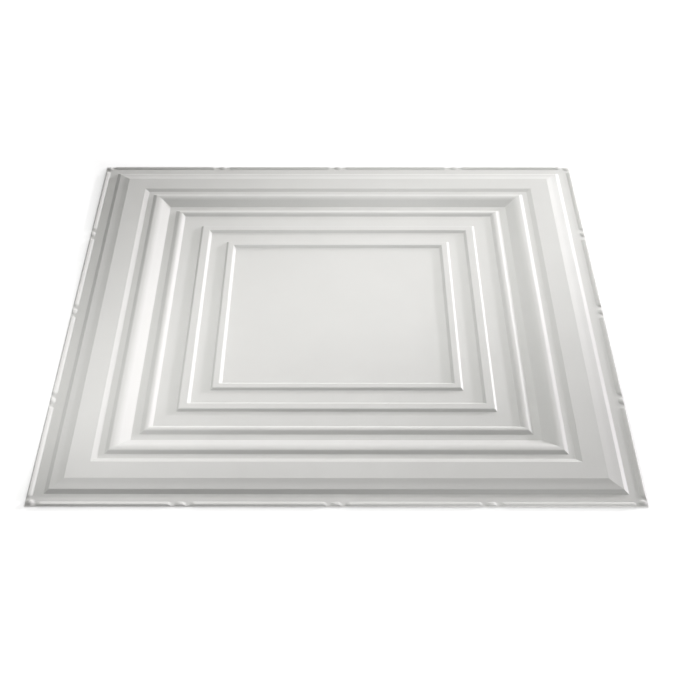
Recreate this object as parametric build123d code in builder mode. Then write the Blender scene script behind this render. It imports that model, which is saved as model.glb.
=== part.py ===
import os
from math import atan, sin, tan

from build123d import *

# A square lay-in ceiling tile, formed from one thin sheet of PVC.
# It lies face up: +Z is the side that the room sees, and the origin is on the
# plane that the back rests on, under the centre of the tile. Sizes are in mm.

# The sheet
side_length = 603.25
sheet = 0.76
bend_radius = 1.1

# The moulded section, read inwards from the trimmed edge: flats, slopes and
# the heights by which the sheet rises and drops
rim_strip = 16.0
step_run = 4.4
step_rise = 2.6
bevel_foot_run = 6.6
bevel_foot_rise = 0.6
bevel_run = 6.7
bevel_rise = 1.15
bevel_radius = 60.0
frame_flat = 22.6
chamfer_run = 5.9
chamfer_drop = 1.35
valley_flat = 6.2
quirk_run = 4.0
quirk_rise = 2.05
quirk_radius = 5.0
crest_flat = 6.5
slope_run = 12.8
slope_radius = 20.0
ledge_flat = 8.2

# The three raised beads round the centre panel, outermost first
outer_bead_width = 12.5
outer_bead_height = 2.15
outer_bead_rise = 4.6
outer_bead_fall = 4.0
outer_bead_radius = 6.0
outer_land = 21.8
middle_bead_width = 13.8
middle_bead_height = 2.2
middle_bead_rise = 2.3
middle_bead_fall = 3.2
middle_bead_radius = 1.4
inner_land = 19.3
inner_bead_width = 11.9
inner_bead_height = 2.2
inner_bead_rise = 2.3
inner_bead_fall = 3.2
inner_bead_radius = 1.4
panel_margin = 4.0

# The rim bead: long runs with a short stud between each two, and a dome on each corner.
# A run is a low round whose crest is near the trimmed edge, with a steep outer lip.
rim_margin = 0.15
rim_bead_lip = 0.6
rim_bead_crest = 1.3
rim_bead_reach = 4.7
rim_bead_height = 1.2
rim_bead_nose = 3.3
runs_on_side = 4
stud_length = 10.6
stud_gap = 3.7
dome_margin = 0.3
dome_width = 8.4
dome_height = 1.3
dome_gap = 1.8

half_side = side_length / 2
bevel_level = step_rise + bevel_foot_rise
frame_level = bevel_level + bevel_rise
valley_level = frame_level - chamfer_drop
crest_level = valley_level + quirk_rise


def bead_bends(start, width, height, rise, fall, radius):
    """Corners of one raised bead: inward distance, height and bend radius."""
    return [
        (start, 0, bend_radius),
        (start + rise, height, radius),
        (start + width - fall, height, radius),
        (start + width, 0, bend_radius),
    ]


# Where each part of the section starts, inwards from the edge
bevel_foot_start = rim_strip + step_run
bevel_start = bevel_foot_start + bevel_foot_run
frame_start = bevel_start + bevel_run
chamfer_start = frame_start + frame_flat
valley_start = chamfer_start + chamfer_run
quirk_start = valley_start + valley_flat
crest_start = quirk_start + quirk_run
slope_start = crest_start + crest_flat
ledge_start = slope_start + slope_run
outer_bead_start = ledge_start + ledge_flat
middle_bead_start = outer_bead_start + outer_bead_width + outer_land
inner_bead_start = middle_bead_start + middle_bead_width + inner_land
panel_start = inner_bead_start + inner_bead_width + panel_margin
panel_width = side_length - 2 * panel_start

bends = [
    (rim_strip, 0, bend_radius),
    (bevel_foot_start, step_rise, bend_radius),
    (bevel_start, bevel_level, bevel_radius),
    (frame_start, frame_level, bend_radius),
    (chamfer_start, frame_level, bend_radius),
    (valley_start, valley_level, bend_radius),
    (quirk_start, valley_level, bend_radius),
    (crest_start, crest_level, quirk_radius),
    (slope_start, crest_level, slope_radius),
    (ledge_start, 0, bend_radius),
]
bends += bead_bends(
    outer_bead_start, outer_bead_width, outer_bead_height,
    outer_bead_rise, outer_bead_fall, outer_bead_radius
)
bends += bead_bends(
    middle_bead_start, middle_bead_width, middle_bead_height,
    middle_bead_rise, middle_bead_fall, middle_bead_radius
)
bends += bead_bends(
    inner_bead_start, inner_bead_width, inner_bead_height,
    inner_bead_rise, inner_bead_fall, inner_bead_radius
)

# The face of the sheet across the front side, from the trimmed edge to the panel
face_points = [(-half_side, sheet)]
face_points += [(inward - half_side, sheet + height) for inward, height, radius in bends]
face_points += [(panel_start - half_side, sheet)]
bend_radii = [radius for inward, height, radius in bends]


def cap_radius(reach, height):
    """Radius of the round that falls by this height at this distance from its crest."""
    return (reach**2 + height**2) / (2 * height)


# The round bodies that swell the sheet: their middles lie below its face
bead_radius = cap_radius(rim_bead_reach, rim_bead_height)
bead_middle = sheet + rim_bead_height - bead_radius
dome_radius = cap_radius(dome_width / 2, dome_height)
dome_middle = sheet + dome_height - dome_radius


def round_bar(length, inset):
    """A low round bar along X with slanted ends and an outer lip, smaller all over by the inset.

    It stands on the face of the sheet, or with the sheet as the inset, on the plane of the back.
    """
    overrun = sheet * rim_bead_nose / rim_bead_height
    with BuildPart() as bar:
        with Locations((0, 0, bead_middle)):
            Cylinder(bead_radius - inset, length + 2 * overrun, rotation=(0, 90, 0))
        for end in (-1, 1):
            nose = Plane((end * length / 2, 0, sheet), z_dir=(end * rim_bead_height, 0, rim_bead_nose))
            split(bisect_by=nose.offset(-inset), keep=Keep.BOTTOM)
        lip = Plane((0, rim_margin - rim_bead_crest, sheet), z_dir=(0, -rim_bead_height, rim_bead_lip))
        split(bisect_by=lip.offset(-inset), keep=Keep.BOTTOM)
        split(bisect_by=Plane.XY.offset(sheet - inset))
    return bar.part


def round_dome(inset):
    """The cap on a corner, made smaller all over by the inset, standing as the bars do."""
    with BuildPart() as dome:
        with Locations((0, 0, dome_middle)):
            Sphere(dome_radius - inset)
        split(bisect_by=Plane.XY.offset(sheet - inset))
    return dome.part


# Middles of the studs along one side, and of the domes at its ends
bead_line = half_side - rim_bead_crest
dome_line = half_side - dome_margin - dome_width / 2
stud_pitch = side_length / runs_on_side
stud_places = [stud_pitch * step - half_side for step in range(1, runs_on_side)]

# Each run keeps clear of what stands at its two ends
stud_reach = stud_length / 2 + stud_gap
dome_reach = dome_width / 2 + dome_gap
run_starts = [dome_reach - dome_line] + [place + stud_reach for place in stud_places]
run_ends = [place - stud_reach for place in stud_places] + [dome_line - dome_reach]

# Each bar is its middle along the side and its length
bars = [((start + end) / 2, end - start) for start, end in zip(run_starts, run_ends)]
bars += [(place, stud_length) for place in stud_places]

# One side of the tile, mitred at both ends
with BuildPart() as tile_side:
    with BuildSketch(Plane.YZ):
        with BuildLine():
            face_line = FilletPolyline(*face_points, radius=bend_radii)
            offset(face_line, amount=sheet, side=Side.RIGHT)
        make_face()
    extrude(amount=half_side, both=True)
    split(bisect_by=Plane(origin=(0, 0, 0), x_dir=(1, -1, 0), z_dir=(-1, -1, 0)))
    split(bisect_by=Plane(origin=(0, 0, 0), x_dir=(1, 1, 0), z_dir=(1, -1, 0)))

    # The rim bead swells out of the face, and the sheet is hollow behind it
    for place, length in bars:
        with Locations((place, -bead_line, 0)):
            add(round_bar(length, 0))
            add(round_bar(length, sheet), mode=Mode.SUBTRACT)

# Four sides round the centre panel, with a dome on each corner
with BuildPart() as ceiling_tile:
    Box(panel_width, panel_width, sheet, align=(Align.CENTER, Align.CENTER, Align.MIN))
    with PolarLocations(0, 4):
        add(tile_side.part)
    with GridLocations(2 * dome_line, 2 * dome_line, 2, 2):
        add(round_dome(0))
        add(round_dome(sheet), mode=Mode.SUBTRACT)

ceiling_tile.part.label = "ceiling_tile"

os.makedirs("parts", exist_ok=True)
export_step(ceiling_tile.part, "parts/ceiling_tile.step")
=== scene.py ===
import math

import bpy
from mathutils import Matrix, Vector


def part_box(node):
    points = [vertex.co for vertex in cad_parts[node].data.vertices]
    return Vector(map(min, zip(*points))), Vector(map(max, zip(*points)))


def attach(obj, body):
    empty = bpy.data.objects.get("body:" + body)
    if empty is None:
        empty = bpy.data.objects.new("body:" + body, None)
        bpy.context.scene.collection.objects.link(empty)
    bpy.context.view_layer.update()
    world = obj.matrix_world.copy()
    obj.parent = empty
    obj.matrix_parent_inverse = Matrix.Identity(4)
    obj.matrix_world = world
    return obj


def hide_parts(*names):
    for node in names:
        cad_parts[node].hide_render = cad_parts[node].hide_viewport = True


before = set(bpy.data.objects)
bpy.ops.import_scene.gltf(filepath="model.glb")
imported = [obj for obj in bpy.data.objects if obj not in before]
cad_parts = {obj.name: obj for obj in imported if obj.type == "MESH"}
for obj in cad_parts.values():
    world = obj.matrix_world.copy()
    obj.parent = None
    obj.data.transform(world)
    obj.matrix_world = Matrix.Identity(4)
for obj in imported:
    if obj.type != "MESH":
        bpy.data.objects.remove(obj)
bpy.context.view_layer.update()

mm = 0.001
nearlyOne = 0.9999           # marks read back from the mesh are compared with this

# The sheet as it is formed, in millimetres, read inwards from the trimmed edge
sheet = {
    "thickness": 0.76,
    "bendRadius": 1.1,
    "rimStrip": 16.0,
    "stepRun": 4.4,
    "stepRise": 2.6,
    "bevelFootRun": 6.6,
    "bevelFootRise": 0.6,
    "bevelRun": 6.7,
    "bevelRise": 1.15,
    "bevelRadius": 60.0,
    "frameFlat": 22.6,
    "chamferRun": 5.9,
    "chamferDrop": 1.35,
    "valleyFlat": 6.2,
    "quirkRun": 4.0,
    "quirkRise": 2.05,
    "quirkRadius": 5.0,
    "crestFlat": 6.5,
    "slopeRun": 12.8,
    "slopeRadius": 20.0,
    "ledgeFlat": 8.2,
    "outerLand": 21.8,
    "innerLand": 19.3,
    "panelMargin": 4.0,
    "rowSpacing": 40.0,       # longest stretch of a flat between two rows of the mesh
    "bendSteps": 3,           # rows round a small bend
    "roundSteps": 8,          # rows round a large one
    "backSteps": 1,           # the same on the back
    "backRoundSteps": 4,
    "weld": 0.01,             # points closer than this become one
}

# The three beads round the panel: rise and fall are the runs of the outer and the inner side,
# radius is that of the shoulders, and after is the flat that follows
beads = [
    {"width": 12.5, "height": 2.15, "rise": 4.6, "fall": 4.0, "radius": 6.0, "after": "outerLand"},
    {"width": 13.8, "height": 2.2, "rise": 2.3, "fall": 3.2, "radius": 1.4, "after": "innerLand"},
    {"width": 11.9, "height": 2.2, "rise": 2.3, "fall": 3.2, "radius": 1.4, "after": "panelMargin"},
]

# The broken bead on the rim: low rounds with their crest near the edge, and a dome on each corner
rimBead = {
    "margin": 0.15,
    "lip": 0.6,
    "crest": 1.3,
    "reach": 4.7,
    "height": 1.2,
    "runsOnSide": 4,
    "studLength": 10.6,
    "studGap": 3.7,
    "domeMargin": 0.3,
    "domeWidth": 8.4,
    "domeHeight": 1.3,
    "domeGap": 1.8,
    "rows": 8,                # rows of the mesh across the bead
    "backRows": 4,
    "endColumn": 0.8,         # spacing of columns at the ends of a bar
    "runColumn": 200.0,       # and along a run
    "closeColumn": 0.6,       # share of endColumn below which a column is left out
}

boxLow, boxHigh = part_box("ceiling_tile")
halfSide = (boxHigh.x - boxLow.x) / 2 / mm

# how far out the crests of the bars stand, and the middles of the domes
beadLine = halfSide - rimBead["crest"]
domeLine = halfSide - rimBead["domeMargin"] - rimBead["domeWidth"] / 2


def capRadius(reach, height):
    return (reach ** 2 + height ** 2) / (2 * height)


# Section of the sheet

def roundCorner(before, corner, after, radius, steps):
    # points round a corner that is bent to a radius
    incoming = (corner - before).normalized()
    outgoing = (after - corner).normalized()
    turn = incoming.angle_signed(outgoing)
    reach = radius * math.tan(abs(turn) / 2)
    start = corner - incoming * reach
    # angle_signed is positive clockwise
    side = Vector((incoming.y, -incoming.x)) if turn > 0 else Vector((-incoming.y, incoming.x))
    centre = start + side * radius
    spoke = start - centre
    points = []
    for step in range(steps + 1):
        points.append(centre + Matrix.Rotation(-turn * step / steps, 2) @ spoke)
    return points


def sectionBends(few, many):
    # corners of the face: inward distance, height, radius, steps
    s = sheet
    small = s["bendRadius"]
    bevelLevel = s["stepRise"] + s["bevelFootRise"]
    frameLevel = bevelLevel + s["bevelRise"]
    valleyLevel = frameLevel - s["chamferDrop"]
    crestLevel = valleyLevel + s["quirkRise"]
    # each stretch of the section and the bend at its end
    stretches = [
        ("rimStrip", 0, small, few),
        ("stepRun", s["stepRise"], small, few),
        ("bevelFootRun", bevelLevel, s["bevelRadius"], few),
        ("bevelRun", frameLevel, small, few),
        ("frameFlat", frameLevel, small, few),
        ("chamferRun", valleyLevel, small, few),
        ("valleyFlat", valleyLevel, small, few),
        ("quirkRun", crestLevel, s["quirkRadius"], few + 1),
        ("crestFlat", crestLevel, s["slopeRadius"], many),
        ("slopeRun", 0, small, few),
    ]
    bends = []
    at = 0
    for name, height, radius, steps in stretches:
        at += s[name]
        bends.append((at, height, radius, steps))
    at += s["ledgeFlat"]
    for bead in beads:
        shoulder = few + 1 if bead["radius"] > 2 * small else few
        bends.append((at, 0, small, few))
        bends.append((at + bead["rise"], bead["height"], bead["radius"], shoulder))
        bends.append((at + bead["width"] - bead["fall"], bead["height"], bead["radius"], shoulder))
        bends.append((at + bead["width"], 0, small, few))
        at += bead["width"] + s[bead["after"]]
    return bends


def faceLine(few, many):
    # the face from the edge to the middle of the tile, rounded at every bend
    bends = sectionBends(few, many)
    corners = [Vector((0, 0))] + [Vector(bend[:2]) for bend in bends] + [Vector((halfSide, 0))]
    line = [corners[0]]
    for index, (inward, height, radius, steps) in enumerate(bends):
        line += roundCorner(corners[index], corners[index + 1], corners[index + 2], radius, steps)
    line.append(corners[-1])
    return line


def splitLong(line, longest):
    # adds points where a straight stretch is longer than this
    points = [line[0]]
    for start, end in zip(line, line[1:]):
        count = max(1, math.ceil((end - start).length / longest))
        points += [start.lerp(end, step / count) for step in range(1, count + 1)]
    return points


def beadRows(count):
    # rows across the rim bead: the lip, then the round, closer together at the foot
    lip, crest, reach = rimBead["lip"], rimBead["crest"], rimBead["reach"]
    start = rimBead["margin"]
    rows = [start, start + lip / 2, start + lip]
    for step in range(count + 1):
        rows.append(crest + reach * math.sin(math.pi / 2 * step / count))
    domeFoot = rimBead["domeMargin"] + rimBead["domeWidth"]
    past = domeFoot - crest - reach
    rows += [crest + reach + past * step / (count / 2) for step in range(1, count // 2 + 1)]
    return rows


def backLine(face):
    # the other side of the sheet: the face moved by its thickness, square to the slope
    points = []
    for index, point in enumerate(face):
        before = face[max(index - 1, 0)]
        after = face[min(index + 1, len(face) - 1)]
        along = (after - before).normalized()
        if index in (0, len(face) - 1):
            along = Vector((1, 0))
        points.append(point + Vector((along.y, -along.x)) * sheet["thickness"])
    return points


def sectionLine(few, many, rimRows):
    # the rounded line of the face, with the rows that the rim bead needs
    face = faceLine(few, many)
    rim = [Vector((inward, 0)) for inward in beadRows(rimRows)]
    line = splitLong([face[0]] + rim + face[1:], sheet["rowSpacing"])
    return [point + Vector((0, sheet["thickness"])) for point in line]


def sectionRows():
    lifted = sectionLine(sheet["bendSteps"], sheet["roundSteps"], rimBead["rows"])
    back = backLine(sectionLine(sheet["backSteps"], sheet["backRoundSteps"], rimBead["backRows"]))
    # from the middle of the back, round the trimmed edge, to the middle of the face
    rows = [(point.x, 1, max(point.y, 0)) for point in reversed(back)]
    rows += [(point.x, 0, point.y) for point in lifted]
    return rows


def rimBars():
    # (start, end) of each bar of the bead along one side
    pitch = 2 * halfSide / rimBead["runsOnSide"]
    studs = [pitch * step - halfSide for step in range(1, rimBead["runsOnSide"])]
    studReach = rimBead["studLength"] / 2 + rimBead["studGap"]
    domeReach = rimBead["domeWidth"] / 2 + rimBead["domeGap"]
    starts = [domeReach - domeLine] + [stud + studReach for stud in studs]
    ends = [stud - studReach for stud in studs] + [domeLine - domeReach]
    bars = list(zip(starts, ends))
    bars += [(stud - rimBead["studLength"] / 2, stud + rimBead["studLength"] / 2) for stud in studs]
    return sorted(bars)


def columnStations():
    # where the columns of the mesh cross the bead's line, as a share of half its length
    nose = rimBead["reach"] + rimBead["endColumn"]
    stations = [-beadLine]
    at = -halfSide + rimBead["margin"]
    while at < rimBead["domeWidth"] / 2 - domeLine:
        at += rimBead["endColumn"]
        stations.append(at)
    for start, end in rimBars():
        at = start - rimBead["endColumn"]
        while at < min(start + nose, (start + end) / 2):
            stations.append(at)
            at += rimBead["endColumn"]
    left = sorted(stations + [-at for at in stations])
    kept = [-beadLine]
    for at in left:
        gap = at - kept[-1]
        if at >= beadLine or gap < rimBead["endColumn"] * rimBead["closeColumn"]:
            continue
        pieces = math.ceil(gap / rimBead["runColumn"])
        kept += [kept[-1] + gap * step / pieces for step in range(1, pieces + 1)]
    kept.append(beadLine)
    return [at / beadLine for at in kept]


def guide(name, points, edges=()):
    # a mesh of loose points or edges that the node tree reads
    mesh = bpy.data.meshes.new(name)
    mesh.from_pydata([Vector(point) for point in points], list(edges), [])
    thing = bpy.data.objects.new(name, mesh)
    bpy.context.scene.collection.objects.link(thing)
    return thing


def barGuide():
    # the middle of each bar's round, as an edge that stops short of its two noses
    reach = rimBead["reach"]
    points, edges = [], []
    for quarter in range(4):
        turn = Matrix.Rotation(math.radians(90 * quarter), 3, "Z")
        for start, end in rimBars():
            edges.append((len(points), len(points) + 1))
            for at in (start + reach, end - reach):
                points.append(turn @ Vector((at, -beadLine, 0)) * mm)
    return guide("barGuide", points, edges)


def domeGuide():
    points = [Vector((x * domeLine, y * domeLine, 0)) * mm for x in (-1, 1) for y in (-1, 1)]
    return guide("domeGuide", points)


# Node tree helpers

nodeColumn, nodeRow = 190, 170    # spacing of the nodes in the editor


def addNode(tree, kind, place, **settings):
    node = tree.nodes.new(kind)
    node.location = (place[0] * nodeColumn, -place[1] * nodeRow)
    for name, value in settings.items():
        setattr(node, name, value)
    return node


def mathNode(tree, place, operation, first, second=None):
    node = addNode(tree, "ShaderNodeMath", place, operation=operation)
    for socket, value in zip(node.inputs, (first, second)):
        if value is None:
            continue
        if isinstance(value, (int, float)):
            socket.default_value = value
        else:
            tree.links.new(value, socket)
    return node.outputs[0]


def swellHeight(tree, column, row, distance, radius, middle):
    # height of a round body of this radius above the plane, or 0 past its foot
    square = mathNode(tree, (column, row), "MULTIPLY", distance, distance)
    whole = mathNode(tree, (column, row + 0.6), "MULTIPLY", radius, radius)
    left = mathNode(tree, (column + 1, row), "SUBTRACT", whole, square)
    inside = mathNode(tree, (column + 1, row + 0.6), "GREATER_THAN", left, 0.0)
    clipped = mathNode(tree, (column + 2, row), "MAXIMUM", left, 0.0)
    root = mathNode(tree, (column + 3, row), "SQRT", clipped)
    raised = mathNode(tree, (column + 4, row), "ADD", root, middle)
    return mathNode(tree, (column + 5, row), "MULTIPLY", raised, inside)


def formedSheetTree():
    tree = bpy.data.node_groups.new("formedSheet", "GeometryNodeTree")
    sockets = {}
    wanted = [
        ("Geometry", "NodeSocketGeometry"),
        ("Section", "NodeSocketObject"),
        ("Columns", "NodeSocketObject"),
        ("Bars", "NodeSocketObject"),
        ("Domes", "NodeSocketObject"),
        ("Half Side", "NodeSocketFloat"),
        ("Thickness", "NodeSocketFloat"),
        ("Bead Margin", "NodeSocketFloat"),
        ("Lip Slope", "NodeSocketFloat"),
        ("Mitre Start", "NodeSocketFloat"),
        ("Weld", "NodeSocketFloat"),
        ("Bead Radius", "NodeSocketFloat"),
        ("Bead Middle", "NodeSocketFloat"),
        ("Dome Radius", "NodeSocketFloat"),
        ("Dome Middle", "NodeSocketFloat"),
        ("Material", "NodeSocketMaterial"),
    ]
    for name, kind in wanted:
        sockets[name] = tree.interface.new_socket(name=name, in_out="INPUT", socket_type=kind)
    tree.interface.new_socket(name="Geometry", in_out="OUTPUT", socket_type="NodeSocketGeometry")
    link = tree.links.new
    given = addNode(tree, "NodeGroupInput", (-4, 0)).outputs

    # guides
    section = addNode(tree, "GeometryNodeObjectInfo", (-3, 1))
    columns = addNode(tree, "GeometryNodeObjectInfo", (-3, 2.4))
    bars = addNode(tree, "GeometryNodeObjectInfo", (-3, 4))
    domes = addNode(tree, "GeometryNodeObjectInfo", (-3, 5.4))
    link(given["Section"], section.inputs["Object"])
    link(given["Columns"], columns.inputs["Object"])
    link(given["Bars"], bars.inputs["Object"])
    link(given["Domes"], domes.inputs["Object"])
    place = addNode(tree, "GeometryNodeInputPosition", (-3, 7))

    # one side of the tile: a grid with a column for each station and a row for each section point
    sectionSize = addNode(tree, "GeometryNodeAttributeDomainSize", (-2, 1), component="MESH")
    columnSize = addNode(tree, "GeometryNodeAttributeDomainSize", (-2, 2.4), component="MESH")
    link(section.outputs["Geometry"], sectionSize.inputs["Geometry"])
    link(columns.outputs["Geometry"], columnSize.inputs["Geometry"])
    rowCount = sectionSize.outputs["Point Count"]
    columnCount = columnSize.outputs["Point Count"]
    grid = addNode(tree, "GeometryNodeMeshGrid", (-1, 0))
    link(columnCount, grid.inputs["Vertices X"])
    link(rowCount, grid.inputs["Vertices Y"])
    gridPlace = addNode(tree, "ShaderNodeSeparateXYZ", (-1, 7))
    link(place.outputs[0], gridPlace.inputs[0])
    columnShare = mathNode(tree, (0, 7), "ADD", gridPlace.outputs["X"], 0.5)
    rowShare = mathNode(tree, (0, 8), "ADD", gridPlace.outputs["Y"], 0.5)
    lastColumn = mathNode(tree, (0, 2.4), "SUBTRACT", columnCount, 1.0)
    lastRow = mathNode(tree, (0, 1), "SUBTRACT", rowCount, 1.0)
    columnStep = mathNode(tree, (1, 7), "MULTIPLY", columnShare, lastColumn)
    rowStep = mathNode(tree, (1, 8), "MULTIPLY", rowShare, lastRow)
    columnIndex = mathNode(tree, (2, 7), "ROUND", columnStep)
    rowIndex = mathNode(tree, (2, 8), "ROUND", rowStep)
    sectionAt = addNode(tree, "GeometryNodeSampleIndex", (3, 1))
    columnAt = addNode(tree, "GeometryNodeSampleIndex", (3, 2.4))
    for sampler, source, index in ((sectionAt, section, rowIndex), (columnAt, columns, columnIndex)):
        sampler.data_type, sampler.domain = "FLOAT_VECTOR", "POINT"
        link(source.outputs["Geometry"], sampler.inputs["Geometry"])
        link(place.outputs[0], sampler.inputs["Value"])
        link(index, sampler.inputs["Index"])
    sectionParts = addNode(tree, "ShaderNodeSeparateXYZ", (4, 1))
    columnParts = addNode(tree, "ShaderNodeSeparateXYZ", (4, 2.4))
    link(sectionAt.outputs[0], sectionParts.inputs[0])
    link(columnAt.outputs[0], columnParts.inputs[0])
    toMiddle = mathNode(tree, (5, 1), "SUBTRACT", given["Half Side"], sectionParts.outputs["X"])
    across = mathNode(tree, (6, 2.4), "MULTIPLY", columnParts.outputs["X"], toMiddle)
    towards = mathNode(tree, (6, 1), "MULTIPLY", toMiddle, -1.0)
    sidePlace = addNode(tree, "ShaderNodeCombineXYZ", (7, 1))
    link(across, sidePlace.inputs["X"])
    link(towards, sidePlace.inputs["Y"])
    link(sectionParts.outputs["Z"], sidePlace.inputs["Z"])
    columnEdge = mathNode(tree, (5, -1), "ABSOLUTE", columnParts.outputs["X"])
    atEnd = mathNode(tree, (6, -1), "GREATER_THAN", columnEdge, nearlyOne)
    pastRim = mathNode(tree, (6, -2), "GREATER_THAN", sectionParts.outputs["X"], given["Mitre Start"])
    onMitre = mathNode(tree, (7, -1), "MULTIPLY", atEnd, pastRim)
    flow = grid.outputs["Mesh"]
    marks = {"back": sectionParts.outputs["Y"], "inward": sectionParts.outputs["X"], "mitre": onMitre}
    for step, (name, value) in enumerate(marks.items()):
        mark = addNode(tree, "GeometryNodeStoreNamedAttribute", (7 + step, -2))
        mark.data_type, mark.domain = "FLOAT", "POINT"
        mark.inputs["Name"].default_value = name
        link(flow, mark.inputs["Geometry"])
        link(value, mark.inputs["Value"])
        flow = mark.outputs["Geometry"]
    placed = addNode(tree, "GeometryNodeSetPosition", (10, 0))
    link(flow, placed.inputs["Geometry"])
    link(sidePlace.outputs[0], placed.inputs["Position"])

    # four sides, joined at the mitres
    quarters = addNode(tree, "GeometryNodeMeshLine", (8, 2))
    quarters.inputs["Count"].default_value = 4
    quarters.inputs["Offset"].default_value = (0, 0, 0)
    turnIndex = addNode(tree, "GeometryNodeInputIndex", (8, 4))
    turn = mathNode(tree, (9, 4), "MULTIPLY", turnIndex.outputs[0], math.pi / 2)
    turnVector = addNode(tree, "ShaderNodeCombineXYZ", (10, 4))
    link(turn, turnVector.inputs["Z"])
    sides = addNode(tree, "GeometryNodeInstanceOnPoints", (11, 0))
    link(quarters.outputs[0], sides.inputs["Points"])
    link(placed.outputs[0], sides.inputs["Instance"])
    link(turnVector.outputs[0], sides.inputs["Rotation"])
    realized = addNode(tree, "GeometryNodeRealizeInstances", (12, 0))
    link(sides.outputs[0], realized.inputs[0])
    joined = addNode(tree, "GeometryNodeMergeByDistance", (13, 0))
    link(given["Weld"], joined.inputs["Distance"])
    link(realized.outputs[0], joined.inputs["Geometry"])

    # the rim bead swells out of the face, and out of the back by less
    flatPlace = addNode(tree, "ShaderNodeVectorMath", (13, 5), operation="MULTIPLY")
    flatPlace.inputs[1].default_value = (1, 1, 0)
    link(place.outputs[0], flatPlace.inputs[0])
    toBar = addNode(tree, "GeometryNodeProximity", (14, 4), target_element="EDGES")
    toDome = addNode(tree, "GeometryNodeProximity", (14, 6), target_element="POINTS")
    for nearest, source in ((toBar, bars), (toDome, domes)):
        link(source.outputs["Geometry"], nearest.inputs[0])
        link(flatPlace.outputs[0], nearest.inputs["Sample Position"])
    back = addNode(tree, "GeometryNodeInputNamedAttribute", (13, 8), data_type="FLOAT")
    back.inputs["Name"].default_value = "back"
    inset = mathNode(tree, (14, 8), "MULTIPLY", back.outputs[0], given["Thickness"])
    beadRadius = mathNode(tree, (15, 3), "SUBTRACT", given["Bead Radius"], inset)
    domeRadius = mathNode(tree, (15, 7), "SUBTRACT", given["Dome Radius"], inset)
    barTop = swellHeight(tree, 16, 3, toBar.outputs["Distance"], beadRadius, given["Bead Middle"])
    domeTop = swellHeight(tree, 16, 6, toDome.outputs["Distance"], domeRadius, given["Dome Middle"])
    rounds = mathNode(tree, (22, 4), "MAXIMUM", barTop, domeTop)

    # the steep outer lip, which the back follows one thickness further in
    inward = addNode(tree, "GeometryNodeInputNamedAttribute", (13, 10), data_type="FLOAT")
    inward.inputs["Name"].default_value = "inward"
    fromMargin = mathNode(tree, (14, 10), "SUBTRACT", inward.outputs[0], given["Bead Margin"])
    slope = given["Lip Slope"]
    rise = mathNode(tree, (15, 10), "MULTIPLY", fromMargin, slope)
    slopeSquare = mathNode(tree, (14, 11), "MULTIPLY", slope, slope)
    stretch = mathNode(tree, (16, 11), "SQRT", mathNode(tree, (15, 11), "ADD", slopeSquare, 1.0))
    lipInset = mathNode(tree, (17, 11), "MULTIPLY", inset, stretch)
    lipRise = mathNode(tree, (17, 10), "SUBTRACT", rise, lipInset)
    lipTop = mathNode(tree, (18, 10), "ADD", lipRise, given["Thickness"])
    swell = mathNode(tree, (23, 5), "MINIMUM", rounds, lipTop)
    now = addNode(tree, "ShaderNodeSeparateXYZ", (22, 6))
    link(place.outputs[0], now.inputs[0])
    height = mathNode(tree, (23, 4), "MAXIMUM", swell, now.outputs["Z"])
    swollen = addNode(tree, "ShaderNodeCombineXYZ", (24, 4))
    link(now.outputs["X"], swollen.inputs["X"])
    link(now.outputs["Y"], swollen.inputs["Y"])
    link(height, swollen.inputs["Z"])
    raised = addNode(tree, "GeometryNodeSetPosition", (25, 0))
    link(joined.outputs[0], raised.inputs["Geometry"])
    link(swollen.outputs[0], raised.inputs["Position"])

    # crisp mitres inside the flat rim, smooth bends
    mitre = addNode(tree, "GeometryNodeInputNamedAttribute", (25, 3), data_type="FLOAT")
    mitre.inputs["Name"].default_value = "mitre"
    sharp = addNode(tree, "FunctionNodeCompare", (26, 3), data_type="FLOAT", operation="LESS_THAN")
    link(mitre.outputs[0], sharp.inputs["A"])
    sharp.inputs["B"].default_value = nearlyOne
    faces = addNode(tree, "GeometryNodeSetShadeSmooth", (26, 0), domain="FACE")
    edges = addNode(tree, "GeometryNodeSetShadeSmooth", (27, 0), domain="EDGE")
    link(raised.outputs[0], faces.inputs["Geometry"])
    link(faces.outputs[0], edges.inputs["Geometry"])
    link(sharp.outputs[0], edges.inputs["Shade Smooth"])
    coloured = addNode(tree, "GeometryNodeSetMaterial", (28, 0))
    link(edges.outputs[0], coloured.inputs["Geometry"])
    link(given["Material"], coloured.inputs["Material"])
    result = addNode(tree, "NodeGroupOutput", (29, 0))
    link(coloured.outputs[0], result.inputs["Geometry"])
    return tree, sockets


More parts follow.
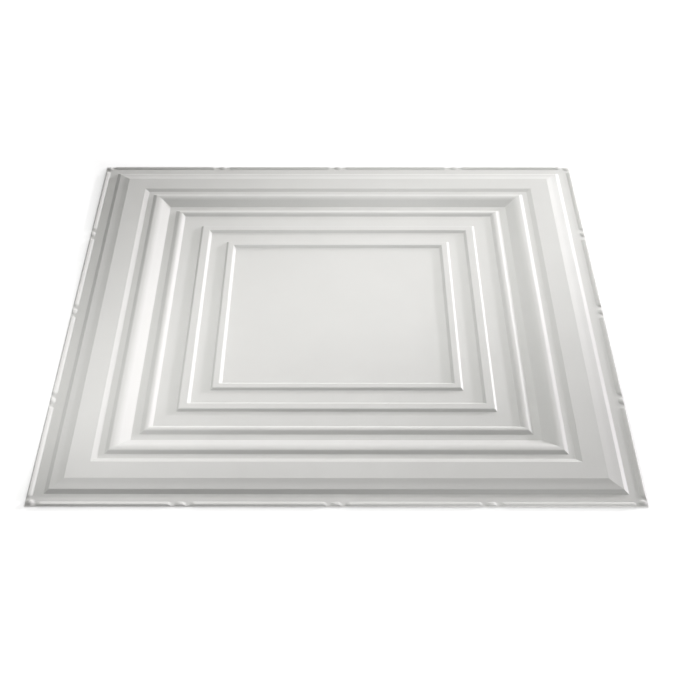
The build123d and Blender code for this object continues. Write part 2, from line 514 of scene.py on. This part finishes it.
def makeTile(material):
    rows = sectionRows()
    sectionPoints = [(inward * mm, flag, height * mm) for inward, flag, height in rows]
    sectionGuide = guide("sectionGuide", sectionPoints)
    stations = columnStations()
    columnGuide = guide("columnGuide", [(share, 0, 0) for share in stations])
    bars, domes = barGuide(), domeGuide()
    beadRadius = capRadius(rimBead["reach"], rimBead["height"])
    domeRadius = capRadius(rimBead["domeWidth"] / 2, rimBead["domeHeight"])
    values = {
        "Section": sectionGuide,
        "Columns": columnGuide,
        "Bars": bars,
        "Domes": domes,
        "Half Side": halfSide * mm,
        "Thickness": sheet["thickness"] * mm,
        "Bead Margin": rimBead["margin"] * mm,
        "Lip Slope": rimBead["height"] / rimBead["lip"],
        "Mitre Start": (sheet["rimStrip"] - sheet["bendRadius"]) * mm,
        "Weld": sheet["weld"] * mm,
        "Bead Radius": beadRadius * mm,
        "Bead Middle": (sheet["thickness"] + rimBead["height"] - beadRadius) * mm,
        "Dome Radius": domeRadius * mm,
        "Dome Middle": (sheet["thickness"] + rimBead["domeHeight"] - domeRadius) * mm,
        "Material": material,
    }
    tree, sockets = formedSheetTree()
    tile = bpy.data.objects.new("formed_sheet", bpy.data.meshes.new("formed_sheet"))
    bpy.context.scene.collection.objects.link(tile)
    forming = tile.modifiers.new("forming", "NODES")
    forming.node_group = tree
    for name, value in values.items():
        forming[sockets[name].identifier] = value
    shading = tile.modifiers.new("flatsShadeFlat", "WEIGHTED_NORMAL")
    shading.keep_sharp = True
    evaluated = tile.evaluated_get(bpy.context.evaluated_depsgraph_get())
    plain = bpy.data.meshes.new_from_object(evaluated)
    tile.modifiers.clear()
    tile.data = plain
    for helper in (sectionGuide, columnGuide, bars, domes):
        bpy.data.objects.remove(helper)
    print("sheet:", len(stations), "columns a side,", len(rows), "rows,", len(plain.polygons), "faces")
    return tile


# PVC

pvc = {
    "colour": (0.806, 0.804, 0.781),
    "backColour": (0.77, 0.765, 0.735),
    "mottle": 0.012,          # how far the colour drifts, as a share
    "mottleSize": 60.0,       # mm
    "ior": 1.53,
    "roughness": 0.42,
    "backRoughness": 0.60,
    "roughnessDrift": 0.06,
    "patchSize": 18.0,        # mm, patches of more and less gloss
    "grainSize": 0.7,         # mm, the fine satin grain of the sheet
    "grainDepth": 0.04,
    "backGrainDepth": 0.08,
    "rollSize": 1.6,          # mm, faint lines left by the rolls, along Y
    "rollShort": 0.02,        # their width as a share of their length
    "rollDepth": 0.012,
    "waveSize": 85.0,         # mm, the slight unevenness of a formed sheet
    "waveDepth": 0.24,
}


def noise(tree, place, vector, size, detail, roughness=0.5):
    # noise with features of this size in millimetres
    node = addNode(tree, "ShaderNodeTexNoise", place)
    node.inputs["Scale"].default_value = 1 / (size * mm)
    node.inputs["Detail"].default_value = detail
    node.inputs["Roughness"].default_value = roughness
    tree.links.new(vector, node.inputs["Vector"])
    return node.outputs["Fac"]


def spread(tree, place, value, low, high):
    # the middle half of a noise, stretched over this range
    node = addNode(tree, "ShaderNodeMapRange", place)
    node.inputs["From Min"].default_value = 0.25
    node.inputs["From Max"].default_value = 0.75
    node.inputs["To Min"].default_value = low
    node.inputs["To Max"].default_value = high
    tree.links.new(value, node.inputs["Value"])
    return node.outputs["Result"]


def pvcMaterial():
    material = bpy.data.materials.new("satinPvc")
    material.use_nodes = True
    tree = material.node_tree
    link = tree.links.new
    surface = tree.nodes["Principled BSDF"]
    surface.inputs["IOR"].default_value = pvc["ior"]
    place = addNode(tree, "ShaderNodeTexCoord", (-9, 0)).outputs["Object"]
    back = addNode(tree, "ShaderNodeAttribute", (-9, 3), attribute_name="back").outputs["Fac"]

    # colour: the face, a duller back, and a slow drift over both
    sides = addNode(tree, "ShaderNodeMix", (-4, 0), data_type="RGBA")
    sides.inputs["A"].default_value = (*pvc["colour"], 1)
    sides.inputs["B"].default_value = (*pvc["backColour"], 1)
    link(back, sides.inputs["Factor"])
    clouds = noise(tree, (-6, 1), place, pvc["mottleSize"], detail=3)
    drift = spread(tree, (-5, 1), clouds, 1 - pvc["mottle"], 1 + pvc["mottle"])
    mottled = addNode(tree, "ShaderNodeVectorMath", (-3, 0), operation="SCALE")
    link(sides.outputs["Result"], mottled.inputs[0])
    link(drift, mottled.inputs["Scale"])
    link(mottled.outputs[0], surface.inputs["Base Color"])

    # gloss: satin on the face, matt on the back
    plain = addNode(tree, "ShaderNodeMapRange", (-5, 3))
    plain.inputs["To Min"].default_value = pvc["roughness"]
    plain.inputs["To Max"].default_value = pvc["backRoughness"]
    link(back, plain.inputs["Value"])
    patches = noise(tree, (-6, 4.5), place, pvc["patchSize"], detail=4)
    patches = spread(tree, (-5, 4.5), patches, -pvc["roughnessDrift"], pvc["roughnessDrift"])
    link(mathNode(tree, (-3, 3), "ADD", plain.outputs["Result"], patches), surface.inputs["Roughness"])

    # relief: grain, roll lines and the unevenness of the sheet, in metres
    grain = noise(tree, (-6, 7), place, pvc["grainSize"], detail=3, roughness=0.6)
    grainDepth = addNode(tree, "ShaderNodeMapRange", (-5, 8))
    grainDepth.inputs["To Min"].default_value = pvc["grainDepth"] * mm
    grainDepth.inputs["To Max"].default_value = pvc["backGrainDepth"] * mm
    link(back, grainDepth.inputs["Value"])
    stretched = addNode(tree, "ShaderNodeMapping", (-7, 9.5))
    stretched.inputs["Scale"].default_value = (1, pvc["rollShort"], 1)
    link(place, stretched.inputs["Vector"])
    rolls = noise(tree, (-6, 9.5), stretched.outputs[0], pvc["rollSize"], detail=2)
    waves = noise(tree, (-6, 11), place, pvc["waveSize"], detail=1.5)
    rolled = mathNode(tree, (-4, 9.5), "MULTIPLY", rolls, pvc["rollDepth"] * mm)
    waved = mathNode(tree, (-4, 11), "MULTIPLY", waves, pvc["waveDepth"] * mm)
    height = mathNode(tree, (-4, 7), "MULTIPLY", grain, grainDepth.outputs["Result"])
    height = mathNode(tree, (-3, 7), "ADD", height, rolled)
    height = mathNode(tree, (-2, 7), "ADD", height, waved)
    bump = addNode(tree, "ShaderNodeBump", (-1, 7))
    bump.inputs["Strength"].default_value = 1
    bump.inputs["Distance"].default_value = 1
    link(height, bump.inputs["Height"])
    link(bump.outputs[0], surface.inputs["Normal"])
    print("material: satinPvc,", len(tree.nodes), "nodes")
    return material


tile = makeTile(pvcMaterial())
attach(tile, "root")
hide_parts("ceiling_tile")

# The floor: it shows white round the tile. Near the tile it keeps the lamps' shadow and also has a
# painted shade, because its glow is dimmed there

floor = {
    "size": 12.0,             # metres
    "colour": (0.93, 0.93, 0.93),
    "gap": 0.0001,            # metres below the back of the tile
    "nearGlowPaintedShade": 0.58,         # white that only the camera and reflections see, at the tile; it is lower than further out, which is a painted shade
    "farGlow": 1.0,           # and further out
    "fade": 0.12,             # metres from the one to the other
    "paintedShadowReach": 0.02,          # how far out the painted shadow darkens that white
    "paintedShadowDepth": 2.2,      # and how deeply
}


def shownRays(tree, place):
    # 1 for the rays that show a surface rather than light another one
    path = addNode(tree, "ShaderNodeLightPath", place)
    column, row = place
    ray = path.outputs
    seen = mathNode(tree, (column + 1, row), "MAXIMUM", ray["Is Camera Ray"], ray["Is Glossy Ray"])
    return mathNode(tree, (column + 2, row), "MAXIMUM", seen, ray["Is Transmission Ray"])


def floorMaterial():
    material = bpy.data.materials.new("whiteFloor")
    material.use_nodes = True
    tree = material.node_tree
    link = tree.links.new
    surface = tree.nodes["Principled BSDF"]
    surface.inputs["Base Color"].default_value = (*floor["colour"], 1)
    surface.inputs["Roughness"].default_value = 1
    surface.inputs["Specular IOR Level"].default_value = 0
    surface.inputs["Emission Color"].default_value = (1, 1, 1, 1)
    # the glow grows outwards from the tile's edge, on the floor's own coordinates, so the floor is
    # painted darker close to the tile
    place = addNode(tree, "ShaderNodeTexCoord", (-9, 2)).outputs["Object"]
    absolute = addNode(tree, "ShaderNodeVectorMath", (-8, 2), operation="ABSOLUTE")
    link(place, absolute.inputs[0])
    parts = addNode(tree, "ShaderNodeSeparateXYZ", (-7, 2))
    link(absolute.outputs[0], parts.inputs[0])
    away = mathNode(tree, (-6, 2), "MAXIMUM", parts.outputs["X"], parts.outputs["Y"])
    glow = addNode(tree, "ShaderNodeMapRange", (-5, 2))
    glow.inputs["From Min"].default_value = halfSide * mm
    glow.inputs["From Max"].default_value = halfSide * mm + floor["fade"]
    glow.inputs["To Min"].default_value = floor["nearGlowPaintedShade"]
    glow.inputs["To Max"].default_value = floor["farGlow"]
    link(away, glow.inputs["Value"])
    # and it fades by ambient occlusion where the tile stands close by, which is a painted contact
    # shadow
    paintedShadowOcclusion = addNode(tree, "ShaderNodeAmbientOcclusion", (-5, 4), samples=8)
    paintedShadowOcclusion.inputs["Distance"].default_value = floor["paintedShadowReach"]
    shade = mathNode(tree, (-4, 4), "POWER", paintedShadowOcclusion.outputs["AO"], floor["paintedShadowDepth"])
    shown = mathNode(tree, (-3, 2), "MULTIPLY", glow.outputs["Result"], shade)
    strength = mathNode(tree, (-2, 2), "MULTIPLY", shown, shownRays(tree, (-5, 6)))
    link(strength, surface.inputs["Emission Strength"])
    # clear from below, so the back of the tile shows, and to light that comes from there
    path = addNode(tree, "ShaderNodeLightPath", (-2, -3))
    side = addNode(tree, "ShaderNodeNewGeometry", (-2, -5))
    below, shadow = side.outputs["Backfacing"], path.outputs["Is Shadow Ray"]
    clear = mathNode(tree, (-1, -3), "MAXIMUM", shadow, below)
    nothing = addNode(tree, "ShaderNodeBsdfTransparent", (0, -4))
    mixed = addNode(tree, "ShaderNodeMixShader", (1, -3))
    link(clear, mixed.inputs[0])
    link(surface.outputs[0], mixed.inputs[1])
    link(nothing.outputs[0], mixed.inputs[2])
    link(mixed.outputs[0], tree.nodes["Material Output"].inputs["Surface"])
    return material


reach = floor["size"] / 2
level = -floor["gap"]
corners = [(x * reach, y * reach, level) for x, y in ((-1, -1), (1, -1), (1, 1), (-1, 1))]
floorMesh = bpy.data.meshes.new("floor")
floorMesh.from_pydata(corners, [], [(0, 1, 2, 3)])
floorMesh.materials.append(floorMaterial())
floorObject = bpy.data.objects.new("floor", floorMesh)
bpy.context.scene.collection.objects.link(floorObject)
print("floor:", floor["size"], "m across")

# Light: a low key from the back right that rakes over the relief, and soft boxes above

world = bpy.data.worlds.new("studio")
bpy.context.scene.world = world
world.use_nodes = True
background = world.node_tree.nodes["Background"]
background.inputs["Color"].default_value = (1, 1, 1, 1)
world.node_tree.links.new(shownRays(world.node_tree, (-5, 0)), background.inputs["Strength"])

# directions in degrees: azimuth from +X towards +Y, elevation above the floor
suns = {
    "key": {"azimuth": 29, "elevation": 8, "spread": 2.5, "power": 2.736, "colour": (0.985, 0.945, 1)},
    "backSky": {"azimuth": 90, "elevation": 30, "spread": 40, "power": 0.604, "colour": (1, 1, 0.94)},
    # comes up through the floor: the front edge and the back of the tile
    "bounce": {"azimuth": 262, "elevation": -38, "spread": 30, "power": 1.3, "colour": (1, 1, 1)},
}
# square boxes in metres and watts, turned to the middle of the tile
boxes = {
    "overMiddle": {"place": (0, 0.05, 0.35), "size": 0.2, "power": 0.32},
    "overLeft": {"place": (-0.22, -0.05, 0.3), "size": 0.2, "power": 0.23},
    "overBack": {"place": (0.1, 0.3, 0.3), "size": 0.2, "power": 0.18},
    "overRight": {"place": (0.3, 0.1, 0.3), "size": 0.2, "power": 0.19},
    "frontLeft": {"place": (-0.32, -0.2, 0.2), "size": 0.2, "power": 0.22},
    "backRight": {"place": (0.5, 0.5, 0.22), "size": 0.3, "power": 1.13},
    "frontRight": {"place": (0.25, -0.6, 0.15), "size": 0.3, "power": 0.57},
}


def lampObject(name, kind, power, towards):
    lamp = bpy.data.lights.new(name, kind)
    lamp.energy = power
    lampPiece = bpy.data.objects.new(name, lamp)
    bpy.context.scene.collection.objects.link(lampPiece)
    lampPiece.rotation_euler = towards.to_track_quat("Z", "Y").to_euler()
    lampPiece.visible_camera = False
    return lampPiece


for name, sun in suns.items():
    across, up = math.radians(sun["azimuth"]), math.radians(sun["elevation"])
    towards = Vector((math.cos(across) * math.cos(up), math.sin(across) * math.cos(up), math.sin(up)))
    sunLamp = lampObject(name, "SUN", sun["power"], towards)
    sunLamp.data.color = sun["colour"]
    sunLamp.data.angle = math.radians(sun["spread"])
for name, box in boxes.items():
    boxLamp = lampObject(name, "AREA", box["power"], Vector(box["place"]))
    boxLamp.data.size = box["size"]
    boxLamp.location = box["place"]
print("lights:", len(suns) + len(boxes))

# Camera

view = {
    "lens": 72.48,                     # mm
    "sensor": 36.0,
    "place": (6.6, -1207.6, 965.2),    # mm
    "pitch": 39.71,                    # degrees below level
    "yaw": 0.3016,                     # degrees
    "roll": 0.1597,
}
lens = bpy.data.cameras.new("camera")
lens.lens = view["lens"]
lens.sensor_width = view["sensor"]
camera = bpy.data.objects.new("camera", lens)
bpy.context.scene.collection.objects.link(camera)
aim = (Matrix.Rotation(math.radians(view["yaw"]), 4, "Z")
       @ Matrix.Rotation(math.radians(90 - view["pitch"]), 4, "X")
       @ Matrix.Rotation(math.radians(-view["roll"]), 4, "Z"))
camera.matrix_world = Matrix.Translation(Vector(view["place"]) * mm) @ aim
bpy.context.scene.camera = camera
print("camera:", view["lens"], "mm lens,", view["pitch"], "degrees below level")

bpy.context.scene.view_settings.view_transform = "Standard"
